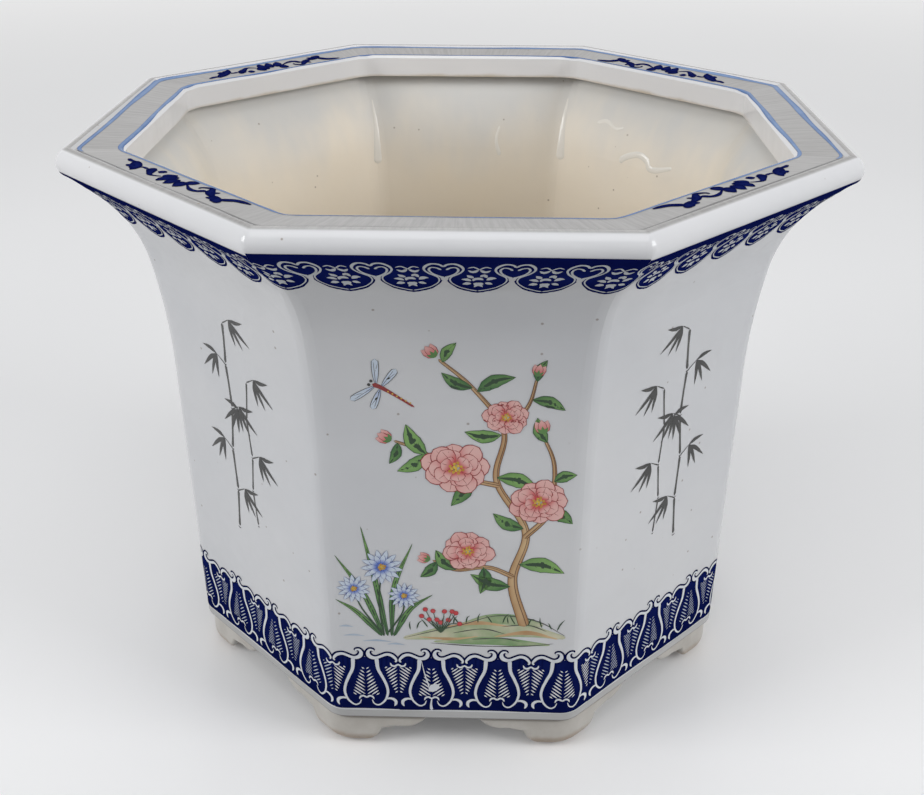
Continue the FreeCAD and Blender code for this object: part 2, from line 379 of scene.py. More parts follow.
def on_rim(turn, apothem, lift, radius):
    """Point on the rim's top, lifted clear of it."""
    place = octagon(turn, apothem, radius)[0]
    hit, normal = rim_under(place)
    if hit is None:
        place.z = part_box("rim_front")[1].z
        hit, normal = RIM.find_nearest(place)[:2]
    return hit + normal * lift


def on_inside(turn, level, lift):
    """Point on the inner glaze, lifted clear of it."""
    facing = turn * EIGHTH - math.pi / 2
    hit, normal = OUTSIDE.ray_cast(Vector((0, 0, level)), heading(facing))[:2]
    return hit + normal * lift


def smooth(points, step):
    """Points along a soft curve through the given ones."""
    points = [Vector(point) for point in points]
    ends = [points[0] * 2 - points[1]] + points + [points[-1] * 2 - points[-2]]
    line = []
    for a, b, c, d in zip(ends, ends[1:], ends[2:], ends[3:]):
        count = max(1, math.ceil((c - b).length / step))
        for index in range(count):
            t = index / count
            line.append((b * 2 + (c - a) * t + (a * 2 - b * 5 + c * 4 - d) * t ** 2
                         + (b * 3 - a - c * 3 + d) * t ** 3) / 2)
    return line + [points[-1]]


def between(values, share):
    """Value a share of the way along a list of them."""
    if len(values) == 1:
        return values[0]
    spot = share * (len(values) - 1)
    index = min(int(spot), len(values) - 2)
    return values[index] + (values[index + 1] - values[index]) * (spot - index)


class Coat:
    """Brush strokes of one colour, laid on the glaze as thin skins."""

    def __init__(self, name, slot, material, inner=False):
        self.name = name
        self.inner = inner
        self.slot = slot
        self.material = material
        self.points = []
        self.loads = []
        self.faces = []

    def grid(self, rows):
        """Join rows of (point, load) into quads that look outwards."""
        first = len(self.points)
        across = len(rows[0])
        looks = Vector()
        for near, far in zip(rows, rows[1:]):
            for column in range(across - 1):
                looks += (far[column + 1][0] - near[column][0]).cross(far[column][0] - near[column + 1][0])
        middle = rows[len(rows) // 2][across // 2][0]
        out = Vector((0, 0, 1)) if self.slot == "rim_glaze" else Vector((middle.x, middle.y, 0))
        if self.inner:
            out = -out
        if looks.dot(out) < 0:
            rows = [row[::-1] for row in rows]
        for row in rows:
            for point, load in row:
                self.points.append(point)
                self.loads.append(load)
        for row in range(len(rows) - 1):
            for column in range(across - 1):
                corner = first + row * across + column
                self.faces.append((corner, corner + 1, corner + across + 1, corner + across))

    def stroke(self, lay, spine, widths, loads=(0.6,), edge=0.0, columns=2, step=0.8, swell=0.0):
        """One stroke along a spine, round at an end that has a width, swollen into a bead if asked."""
        line = smooth(spine, step)
        runs = [0.0]
        for a, b in zip(line, line[1:]):
            runs.append(runs[-1] + (b - a).length)
        rows = []
        for index, point in enumerate(line):
            ahead = line[min(index + 1, len(line) - 1)] - line[max(index - 1, 0)]
            across = Vector((-ahead.y, ahead.x)).normalized()
            share = runs[index] / runs[-1]
            half = between(widths, share) / 2
            for gap, end in ((runs[index], widths[0]), (runs[-1] - runs[index], widths[-1])):
                if end and gap < end / 2:
                    half *= math.sqrt(max(1 - (1 - gap / (end / 2)) ** 2, 0.0))
            row = []
            for column in range(columns + 1):
                side = 2 * column / columns - 1
                spot = point + across * half * side
                raised = [swell * half * math.sqrt(1 - side ** 2)] if swell else []
                load = between(loads, share) + edge * side ** 2
                row.append((lay(spot.x, spot.y, *raised), load))
            rows.append(row)
        self.grid(rows)

    def fill(self, lay, low, high, loads, rows=2, step=0.8):
        """Skin between a lower and an upper line."""
        low, high = smooth(low, step), smooth(high, step)
        count = max(len(low), len(high))
        low = [between(low, index / (count - 1)) for index in range(count)]
        high = [between(high, index / (count - 1)) for index in range(count)]
        skin = []
        for level in range(rows + 1):
            share = level / rows
            skin.append([(lay(*(a + (b - a) * share)), between(loads, share)) for a, b in zip(low, high)])
        self.grid(skin)

    def finish(self):
        """Make the strokes one piece that rides with the pot."""
        mesh = bpy.data.meshes.new(self.name)
        mesh.from_pydata(self.points, [], self.faces)
        mesh.attributes.new("load", "FLOAT", "POINT").data.foreach_set("value", self.loads)
        mesh.materials.append(self.material)
        piece = bpy.data.objects.new(self.name, mesh)
        bpy.context.scene.collection.objects.link(piece)
        bpy.ops.object.select_all(action="DESELECT")
        bpy.context.view_layer.objects.active = piece
        piece.select_set(True)
        bpy.ops.object.mode_set(mode="EDIT")
        bpy.ops.mesh.select_all(action="SELECT")
        bpy.ops.mesh.remove_doubles(threshold=WELD)
        bpy.ops.object.mode_set(mode="OBJECT")
        bpy.ops.object.shade_smooth()
        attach(piece, "root")


def mirrored(points):
    return [(-x, y) for x, y in points]


def leaf_border(blue, white):
    """Round the foot of the wall: upright and hanging leaves in a blue ground under a scrolled band."""
    count, pitch, shift = 29, 129.5, 0.316
    period = 8 * pitch / count
    half = period / 2
    plain = (0.22,)
    band = [(5.0, 41.4), (4.4, 42.4), (3.0, 42.6), (2.0, 41.4), (1.9, 39.6), (2.8, 38.0), (4.6, 37.1),
            (6.8, 37.3), (9.2, 38.5), (11.9, 39.6), (14.4, 39.0), (16.2, 37.2), (17.0, 35.6), (16.5, 34.6),
            (15.9, 34.8)]
    band_widths = [1.0, 1.2, 1.5, 2.1, 2.4, 2.2, 1.8, 1.6, 1.6, 1.7, 1.8, 1.8, 1.6, 1.2, 0.8]
    ground_top = [(0, 37.6), (2.0, 37.6), (4.6, 37.1), (6.8, 37.3), (9.2, 38.5), (11.9, 39.6), (14.4, 39.0),
                  (16.2, 37.2), (half, 34.6)]
    stem = [(6.3, 37.0), (6.9, 29.6), (9.1, 24.0), (11.0, 18.8), (11.8, 14.4), (11.5, 11.2), (10.3, 7.6),
            (7.9, 4.7), (5.9, 3.9), (3.9, 5.1), (2.9, 7.9)]
    stem_widths = (2.2, 2.0, 1.8, 1.7, 1.6, 1.5, 1.4, 1.2, 1.1, 0.9, 0.4)
    hook = [(10.7, 8.3), (12.6, 8.8), (14.4, 8.4), (15.8, 7.1), (16.0, 5.1), (15.1, 3.2)]
    bow = [(-4.1, 7.8), (-3.3, 9.7), (-1.7, 10.3), (0, 9.3), (1.7, 10.3), (3.3, 9.7), (4.1, 7.8)]
    hang = [(-4.2, 34.0), (-3.5, 32.1), (-1.8, 31.6), (0, 32.7), (1.8, 31.6), (3.5, 32.1), (4.2, 34.0)]
    bow_widths = (0.5, 1.1, 1.2, 1.0, 1.2, 1.1, 0.5)
    vein_count, vein_reach, slant = 11, 7.3, 0.85
    for index in range(count):
        offset = (index - shift) * period
        crisp = abs((offset / pitch + 4) % 8 - 4) < 0.5
        veins = (0.0,) if crisp else (0.55,)
        vein_widths = (0.4, 0.82, 0.6) if crisp else (0.3, 0.6, 0.48)

        def lay(x, y, lift=GROUND_LIFT):
            return on_wall((x + offset) / pitch, y * MM, lift * MM)

        def under_band(x, y):
            return lay(x, y, GROUND_LIFT + 0.01)

        def over(x, y):
            return lay(x, y, DRAWING_LIFT)

        for flip in (list, mirrored):
            base = []
            for x, _ in ground_top:
                ripple = math.sin(index * 2.3 + flip([(x, 0)])[0][0] * 0.09)
                base.append((x, 0.9 + 0.35 * ripple))
            blue.fill(lay, flip(base), flip(ground_top), (0.75, 0.45), step=1.2)
            blue.stroke(under_band, flip(band), [width + 2.2 for width in band_widths], (0.8,))
            white.stroke(over, flip(band), band_widths, plain)
            white.stroke(over, flip(stem), stem_widths, plain)
            white.stroke(over, flip(hook), (1.0, 1.3, 1.7, 1.8, 1.5, 0.5), plain)
            for vein in range(vein_count):
                reach = vein_reach * (1 - (vein / vein_count) ** 1.25) ** 0.85
                end = 12.6 + 2.0 * vein
                inner = max(0.45, reach - (end - 10.9) / slant)
                stalk = [(inner, end - slant * (reach - inner)), (reach, end)]
                white.stroke(over, flip(stalk), vein_widths, veins, step=1.5)
                end = 30.0 - 1.9 * vein
                inner = max(0.45, reach - (31.2 - end) / slant)
                stalk = [(half - inner, end + slant * (reach - inner)), (half - reach, end)]
                white.stroke(over, flip(stalk), vein_widths, veins, step=1.5)
        white.stroke(over, bow, bow_widths, plain)
        white.stroke(over, [(half + x, y) for x, y in hang], bow_widths, plain)

    def torn(x, y):
        return on_wall(x / pitch, y * MM, TORN_LIFT * MM)

    white.stroke(torn, [(-16.6, 36.0), (-15.0, 27.0), (-12.6, 17.5)], (0.3, 0.6, 0.8), plain)
    white.stroke(torn, [(-12.6, 14.6), (-10.0, 17.0), (-7.2, 19.0)], (2.4, 5.2, 2.2), plain, columns=4)
    white.stroke(torn, [(-11.4, 1.0), (-11.7, 5.0), (-11.2, 9.4)], (2.0, 1.0, 0.6), plain)


def medallion_border(blue, white):
    """Under the lip: flower medallions that hang from a blue band, with a scrolled heart between each two."""
    count, pitch, shift = 42, 152.7, 3.567
    period = 8 * pitch / count
    half = period / 2
    side_drop = 5.2
    scroll = [(half, 5.4), (half - 1.5, 2.7), (half - 4.4, 1.8), (half - 7.0, 4.4), (half - 8.0, 8.4),
              (half - 6.6, 12.4), (half - 4.3, 15.1), (half - 2.7, 17.3), (half - 2.3, 20.0), (11.5, 22.3),
              (10.3, 23.9), (8.9, 25.3), (7.4, 26.4), (5.6, 27.2), (4.2, 27.8), (2.2, 28.5), (0, 29.0)]
    scroll_widths = (1.0, 1.3, 1.5, 1.5, 1.4, 1.0, 0.9, 1.0, 1.0, 0.8, 0.7, 0.65, 0.6, 0.6, 0.6, 0.6, 0.6)
    curl = [(half - 1.0, 8.8), (half - 2.6, 6.5), (half - 4.8, 5.9), (half - 6.0, 8.5), (half - 5.1, 12.3),
            (half - 3.0, 15.1), (half - 1.3, 16.7), (half, 17.3)]
    low = [(0, 30.6), (1.3, 30.3), (2.6, 30.1), (4.2, 29.4), (5.8, 29.0), (7.2, 28.3), (8.8, 27.4),
           (10.3, 25.8), (11.8, 24.0), (12.9, 22.2), (13.5, 20.4)]
    high = [(0, 15.5), (2.7, 15.5), (5.6, 15.5), (8.8, 15.5), (half - 2.4, 16.4), (half - 1.3, 20.2)]
    petals = (([(-5.0, 14.4), (-3.4, 16.4), (-2.0, 17.4)], (0.3, 1.9, 0.9)),
              ([(0.7, 16.4), (2.2, 14.6), (3.6, 17.3)], (0.8, 1.9, 0.4)),
              ([(3.5, 19.6), (5.6, 17.6), (7.8, 17.8)], (0.5, 2.3, 0.3)),
              ([(-7.4, 19.0), (-5.2, 19.0), (-3.0, 20.4)], (0.3, 1.9, 0.6)),
              ([(-2.3, 20.6), (-1.5, 18.6), (0.5, 18.2), (2.2, 19.4)], (0.5, 1.5, 1.7, 0.6)),
              ([(-6.9, 23.6), (-5.0, 22.8), (-2.9, 22.9)], (0.4, 1.9, 0.8)),
              ([(2.9, 22.0), (5.0, 22.6), (6.4, 23.4)], (0.9, 1.7, 0.3)),
              ([(-2.1, 22.6), (0.1, 23.4), (2.3, 22.4)], (1.4, 2.3, 1.4)),
              ([(-0.2, 23.4), (-1.7, 26.0)], (1.8, 0.3)),
              ([(0.4, 23.4), (2.2, 25.8)], (1.8, 0.3)))
    for index in range(count):
        offset = (index - shift) * period
        drop = 0.0 if abs(offset / pitch) < 0.51 else side_drop

        def lay(x, y, lift=GROUND_LIFT):
            return on_wall((x + offset) / pitch, TOP_WAY - (y + drop) * MM, lift * MM)

        def over_band(x, y):
            return lay(x, y, GROUND_LIFT + 0.005)

        def over(x, y):
            return lay(x, y, DRAWING_LIFT)

        for flip in (list, mirrored):
            band_low = flip([(0, 16.6), (half - 3, 16.6), (half, 17.4)])
            band_high = flip([(0, 0.05 - drop), (half, 0.05 - drop)])
            blue.fill(lay, band_low, band_high, (0.5, 0.85), 8)
            blue.fill(over_band, flip(low), flip(high), (0.85, 0.5), 8)
            white.stroke(over, flip(scroll), scroll_widths)
            white.stroke(over, flip(curl), (1.2, 1.1, 1.0, 1.0, 1.0, 1.0, 1.3, 1.8))
            white.stroke(over, flip([(4.7, 8.8), (2.5, 10.8), (0.3, 8.4)]), (0.3, 2.5, 0.8))
            white.stroke(over, flip([(4.9, 6.6), (2.5, 5.2), (0.5, 7.4), (0.0, 8.4)]), (0.5, 1.0, 0.9, 0.8))
        for spine, widths in petals:
            white.stroke(over, spine, [width * 1.35 for width in widths])

    side_half = 76.3
    for side in range(8):
        top = (5.0, 4.9, 4.4) if side == 0 else (3.6, 3.4, 3.7)

        def on_lip(x, y):
            return on_wall(side + x / pitch, TOP_WAY + y * MM, GROUND_LIFT * MM)

        foot = [(-side_half, -0.2), (0, -0.2), (side_half, -0.2)]
        crest = list(zip((-side_half, 0, side_half), top))
        blue.fill(on_lip, foot, crest, (0.75, 0.9), 8)


def rim_lines(pale, grey):
    """Brush lines along the dished top: by the lip, grey in front as painted crease shade over the line, blue
    behind, and by the collar.
    """
    def ring(coat, first, last, apothem, radius, widths, loads, edge):
        steps = int((last - first) * 150)
        rows = []
        for index in range(steps + 1):
            share = index / steps
            turn = first + (last - first) * share
            wander = 0.25 * math.sin(turn * 6 * EIGHTH) + 0.2 * math.sin(turn * 15 * EIGHTH + 1)
            ripple = 1 + 0.12 * math.sin(turn * 9 * EIGHTH) + 0.08 * math.sin(turn * 24 * EIGHTH)
            width = between(widths, share) * ripple
            row = []
            for column in range(7):
                side = column / 3 - 1
                spot = (apothem + wander + side * width / 2) * MM
                place = on_rim(turn, spot, RIM_LINE_LIFT * MM, radius * MM)
                row.append((place, between(loads, share) + edge * abs(side) ** 3))
            rows.append(row)
        coat.grid(rows)

    # In front the line by the lip is painted grey: painted shade of the crease there, over the brush line.
    ring(grey, -1.49, 1.49, FRONT_LINE, 8, (0.9, 0.8, 0.9, 0.8, 0.9), (0.5, 0.4, 0.3, 0.4, 0.5), 0.2)
    ring(pale, 1.47, 6.53, OUTER_LINE, 12, (1.6, 3.4, 3.0, 2.4, 3.0, 3.4, 1.6),
         (0.45, 0.3, 0.4, 0.4, 0.3, 0.45), 0.35)
    ring(pale, -4.0, 4.0, INNER_LINE, 20, (1.2, 1.6, 2.5, 1.7, 1.1, 2.0, 2.4, 1.8, 1.2),
         (0.7, 0.6, 0.35, 0.5, 0.6, 0.4, 0.35, 0.6, 0.7), 0.35)


def rim_sprigs(blue):
    """A quick brush scroll with a flower in its middle, on each slanting side of the rim."""
    strokes = (([(-50.0, 5.0), (-46.5, 6.2), (-42.0, 6.0)], (1.2, 2.4, 2.0)),
               ([(-44.0, 4.6), (-39.0, 7.4), (-34.5, 10.6), (-31.0, 13.6), (-29.6, 16.2)],
                (1.8, 4.2, 5.2, 4.2, 0.6)),
               ([(-37.5, 9.0), (-37.2, 11.5), (-36.4, 13.8)], (2.5, 4.5, 1.5)),
               ([(-32.5, 9.4), (-30.5, 8.0), (-27.0, 8.2)], (1.8, 1.5, 1.8)),
               ([(-27.0, 4.4), (-24.6, 7.2), (-20.8, 10.4), (-17.0, 12.9), (-13.6, 11.6), (-11.5, 9.6)],
                (1.6, 4.4, 3.2, 2.2, 1.4, 0.8)),
               ([(-20.0, 3.0), (-18.6, 5.2), (-17.4, 7.6)], (1.6, 4.0, 1.0)),
               ([(-8.0, 3.0), (-10.8, 6.5), (-9.0, 10.0)], (2.0, 4.0, 2.0)),
               ([(-5.0, 4.2), (-7.0, 9.0), (-6.6, 13.0), (-5.8, 16.2)], (3.0, 5.0, 4.6, 0.8)),
               ([(-1.5, 6.0), (-1.2, 10.5), (0.0, 13.4), (0.2, 16.2)], (3.0, 5.0, 4.0, 0.8)),
               ([(2.0, 6.5), (5.0, 10.0), (6.6, 12.8), (7.2, 15.4)], (3.0, 5.0, 4.4, 0.8)),
               ([(3.0, 2.8), (6.0, 4.4), (8.2, 7.6)], (2.2, 6.0, 1.5)),
               ([(7.0, 7.6), (10.5, 9.4), (13.8, 10.8), (17.0, 11.3), (19.6, 10.2), (20.6, 8.0), (21.6, 6.4)],
                (1.0, 0.9, 1.4, 2.2, 2.4, 2.6, 3.0)),
               ([(16.0, 7.2), (15.4, 5.0), (17.2, 3.0), (19.8, 2.2), (22.0, 4.0), (24.5, 6.4), (28.5, 8.6),
                 (33.5, 10.0)],
                (0.8, 1.6, 2.0, 2.6, 3.8, 3.4, 2.4, 3.0)),
               ([(27.6, 3.0), (26.6, 5.0), (25.4, 6.8)], (1.0, 2.0, 2.2)),
               ([(30.0, 8.4), (34.5, 10.2), (38.5, 12.2), (41.2, 13.8)], (2.2, 4.0, 4.6, 1.6)),
               ([(35.5, 9.8), (32.6, 11.8), (30.4, 12.4)], (3.0, 2.6, 1.0)),
               ([(37.5, 10.0), (39.6, 7.0), (41.8, 4.6), (45.0, 3.4), (50.8, 2.4)],
                (3.4, 3.6, 3.2, 2.4, 0.8)))
    for side, way in ((-1, 1), (1, -1), (3, 1), (5, -1)):
        facing = side * EIGHTH - math.pi / 2
        out = heading(facing)
        along = Vector((-out.y, out.x, 0))
        for number, (spine, widths) in enumerate(strokes):

            def lay(x, y):
                hit, normal = rim_under(out * (INNER_LINE + y) * MM + along * way * x * MM)
                return hit + normal * (SPRIG_LIFT + SPRIG_STEP * number) * MM

            broad = [width * 1.25 for width in widths]
            blue.stroke(lay, spine, broad, (0.9, 0.5, 0.75), edge=0.45, columns=6, step=0.6)


def glaze_runs_and_highlight_streaks(bead):
    """Thick pale glaze that ran and froze inside, the two upright runs at the inner corners also painted
    highlight streaks: x round from mid-front, y up from the ground, in mm.
    """
    side_width = 136.0
    # The first and third runs stand at inner corners; their pale colour is partly a painted highlight.
    runs = (([(476, 290), (475.5, 272), (474.5, 250)], (0.8, 4.0, 7.0)),
            ([(421, 259), (415, 263), (405, 266), (397, 264), (393, 259.5), (386, 259.5), (374, 263)],
             (4.6, 4.2, 4.4, 4.0, 2.4)),
            ([(610, 288), (610.5, 270), (611.5, 246)], (0.8, 4.0, 6.4)),
            ([(448, 279), (440, 281), (431, 278), (424, 280)], (2.0, 2.8, 2.4, 1.2)),
            ([(520, 272), (522, 262), (519, 252)], (1.6, 2.6, 3.4)))

    def lay(x, y, raised):
        return on_inside(x / side_width, y * MM, (raised - RUN_SINK) * MM)

    for spine, widths in runs:
        bead.stroke(lay, spine, widths, (0.5,), columns=8, step=1.2, swell=0.2)


class Panel:
    """A side of the pot to paint on: x from its middle, y up the wall from its foot, in mm."""

    def __init__(self, side, way, coats):
        self.side = side
        self.way = way
        self.coats = coats
        self.depth = GROUND_LIFT

    def lay(self, x, y):
        apothem = climb(y * MM)[1]
        pitch = 2 * ((apothem - CORNER_RADIUS) * math.tan(EIGHTH / 2) + CORNER_RADIUS * EIGHTH / 2)
        return on_wall(self.side + self.way * x * MM / pitch, y * MM, self.depth * MM)

    def brush(self, colour, spine, widths, loads=(0.6,), edge=0.0, columns=2, step=1.4):
        self.depth += STROKE_STEP
        self.coats[colour].stroke(self.lay, spine, widths, loads, edge, columns, step)

    def dot(self, colour, x, y, size, load=0.6):
        spine = [(x - size / 2, y), (x, y), (x + size / 2, y)]
        self.brush(colour, spine, (size, size, size), (load,), step=size / 6)


def polar(x, y, angle, reach):
    return x + reach * math.cos(math.radians(angle)), y + reach * math.sin(math.radians(angle))


def leaf(panel, x, y, angle, length, width, load):
    """Broad leaf with a dark edge and veins, paler towards its tip."""
    panel.depth = LEAF_LIFT
    tip = polar(x, y, angle, length)
    mid = polar(*polar(x, y, angle, length * 0.5), angle + 90, length * 0.1)
    spine = [(x, y), mid, tip]
    edge_widths = (0.6, width * 0.8 + 0.7, width + 0.7, width * 0.62 + 0.6, 0.3)
    blade_widths = (0.3, width * 0.8, width, width * 0.62, 0.1)
    panel.brush("leaf_edge", spine, edge_widths, columns=4)
    panel.brush("leaf", spine, blade_widths, (load + 0.3, load, load - 0.15), 0.25, 6)
    panel.brush("leaf_edge", spine, (0.6, 0.5, 0.2))
    for share in (0.3, 0.5, 0.7):
        bow = length * 0.1 * (1 - abs(share - 0.5))
        start = polar(*polar(x, y, angle, length * share), angle + 90, bow)
        for turn in (38, -38):
            vein = [start, polar(*start, angle + turn, width * 0.42 * (1.2 - share))]
            panel.brush("leaf_edge", vein, (0.35, 0.2))


def stamens(panel, x, y, count, spread, size, loads):
    """Gold dots in a tight spiral, each with a little more colour than the last."""
    for index in range(count):
        spot = polar(x, y, index * GOLDEN_ANGLE, spread * math.sqrt(index))
        panel.dot("gold", *spot, size, loads[0] + loads[1] * index)


def bloom(panel, x, y, size, spin):
    """Full flower: three rings of petals, deep at the heart, round gold stamens."""
    panel.depth = BLOOM_LIFT
    for reach, count, wide in ((1.0, 9, 0.62), (0.76, 8, 0.54), (0.5, 6, 0.42)):
        width = size * wide
        edge_widths = (width * 0.3, width * 0.85 + 0.5, width + 0.6, width * 0.8)
        petal_widths = (width * 0.26, width * 0.82, width * 0.96, width * 0.74)
        for index in range(count):
            step = index * 2 % count
            if count % 2 == 0 and index * 2 >= count:
                step += 0.5
            angle = spin + 360 * step / count + 6 * math.sin(index * 2.7 + size)
            root = polar(x, y, angle, 0.1 * size)
            far = size * reach * (0.94 + 0.06 * math.sin(index * 4.1))
            tip = (x + far * math.cos(math.radians(angle)), y + 0.86 * far * math.sin(math.radians(angle)))
            panel.brush("rose_edge", [root, tip], edge_widths, columns=6)
            tip = (tip[0] * 0.97 + root[0] * 0.03, tip[1] * 0.97 + root[1] * 0.03)
            panel.brush("rose", [root, tip], petal_widths, (1.0, 0.62, 0.22, 0.08), 0.12, 6, 1.0)
            fold = [polar(*root, angle, far * 0.3), polar(*root, angle + 3, far * 0.72)]
            panel.brush("rose_edge", fold, (0.3, 0.15))
    stamens(panel, x, y, 14, size * 0.055, size * 0.09, (0.2, 0.05))


def bud(panel, x, y, angle, size):
    """Closed flower in its green cup."""
    panel.depth = BUD_LIFT
    for turn in (-22, 22, 0):
        tip = polar(x, y, angle + turn, size)
        panel.brush("rose_edge", [(x, y), tip], (0.6, size * 0.5 + 0.5, size * 0.44 + 0.5, 0.4), columns=4)
        panel.brush("rose", [(x, y), tip], (0.4, size * 0.5, size * 0.44, 0.2), (0.9, 0.5, 0.15), columns=4)
    for turn in (-38, 0, 38):
        panel.brush("leaf", [(x, y), polar(x, y, angle + turn, size * 0.55)], (1.0, size * 0.24, 0.2), (0.6,))


def aster(panel, x, y, size, spin):
    """Blue and white daisy with a gold heart."""
    panel.depth = BUD_LIFT
    for ring, count in ((1.0, 13), (0.72, 11)):
        for index in range(count):
            angle = spin + 360 * index / count + ring * 9
            root, tip = polar(x, y, angle, size * 0.16), polar(x, y, angle, size * ring)
            edge_widths = (0.5, size * 0.24 + 0.4, size * 0.24 + 0.4, 0.6)
            petal_widths = (0.3, size * 0.24, size * 0.23, 0.4)
            panel.brush("aster_edge", [root, tip], edge_widths)
            panel.brush("aster", [root, tip], petal_widths, (1.0, 0.5, 0.0, 0.0), columns=4)
    stamens(panel, x, y, 9, size * 0.06, size * 0.12, (0.3, 0.07))


def twig(panel, points, widths):
    """Woody stem with a dark shaded edge."""
    panel.brush("bark_edge", points, [width + 0.7 for width in widths], columns=4)
    panel.brush("bark", points, widths, (0.5, 0.3, 0.6, 0.3), 0.4, 4)
    shade = [(x + 0.22 * width, y) for (x, y), width in zip(points, widths)]
    panel.brush("bark_edge", shade, (0.5, 0.3, 0.4, 0.2))


def dragonfly(panel, x, y, angle):
    """Two pairs of clear wings on a ringed body."""
    for turn, reach in ((62, 15), (98, 13), (-62, 15), (-98, 13)):
        root = polar(x, y, angle, 1.5 if abs(turn) < 80 else -1.0)
        tip = polar(*root, angle + turn, reach)
        panel.brush("ink", [root, tip], (0.5, 2.9, 3.7, 3.3), columns=4)
        panel.brush("aster", [root, tip], (0.2, 2.3, 3.1, 2.6), (0.45, 0.1, 0.0), columns=4)
        panel.brush("ink", [root, polar(*root, angle + turn + 3, reach * 0.9)], (0.3, 0.2))
        vein = [polar(*root, angle + turn, reach * 0.5), polar(*root, angle + turn - 6, reach * 0.85)]
        panel.brush("ink", vein, (0.25, 0.15))
    body = [polar(x, y, angle, 3.5), polar(x, y, angle, -4), polar(x, y, angle - 6, -20)]
    panel.brush("rose_edge", body, (2.6, 1.9, 1.3, 1.1))
    for index in range(6):
        panel.dot("gold", *polar(x, y, angle - 3, -5 - 2.4 * index), 0.9, 0.3)
    for turn in (14, -14):
        panel.dot("ink", *polar(x, y, angle + turn, 4.8), 1.7)


def bank(panel):
    """Mossy bank with ink edges, a little water beside it and grass on it."""
    washes = (([(-26, 51), (4, 56), (34, 58), (60, 53)], (2, 9, 12, 9, 2), 0.2),
              ([(2, 60), (24, 65), (48, 61)], (1, 6, 7, 2), 0.35),
              ([(-10, 49), (20, 50), (52, 48)], (1, 5, 5, 1), 0.55))
    earths = (([(-4, 59), (14, 62), (30, 60)], (0.5, 2.6, 0.6)),
              ([(22, 53), (40, 56), (56, 52)], (0.6, 3.0, 0.6)),
              ([(-18, 52), (0, 51), (14, 53)], (0.4, 2.0, 0.4)))
    edges = ([(-26, 51), (-10, 56), (6, 61), (24, 67), (44, 64), (60, 54)], [(0, 55), (16, 58), (28, 55)],
             [(26, 60), (40, 61), (50, 57)], [(-12, 48), (14, 46.5), (38, 47), (54, 49)],
             [(10, 51), (26, 52), (36, 50)])
    for spine, widths, load in washes:
        panel.brush("moss", spine, widths, (load, load + 0.3, load), 0.25, 8)
    for spine, widths in earths:
        panel.brush("bark", spine, widths, (0.3, 0.6, 0.2), columns=4)
    for spine in edges:
        panel.brush("ink", spine, (0.2, 0.7, 0.4, 0.8, 0.2), (0.5,))
    for x, y, reach in ((-52, 52, 12), (-40, 48.5, 16), (-56, 58, 8), (-30, 46.5, 10)):
        ripple = [(x - reach / 2, y), (x, y + 0.6), (x + reach / 2, y - 0.2)]
        panel.brush("water", ripple, (0.2, 1.3, 0.2), (0.4,))
    for index in range(16):
        x = -22 + 5.2 * index + 2 * math.sin(index * 5.0)
        y = 57 + 6 * math.sin((x + 24) * 0.036)
        tip = (x + 4 * math.sin(index * 2.2), y + 5 + 2.5 * math.sin(index * 3.1))
        panel.brush("leaf_edge", [(x, y - 1), ((x + tip[0]) / 2 - 0.5, y + 3), tip], (0.6, 0.8, 0.1))


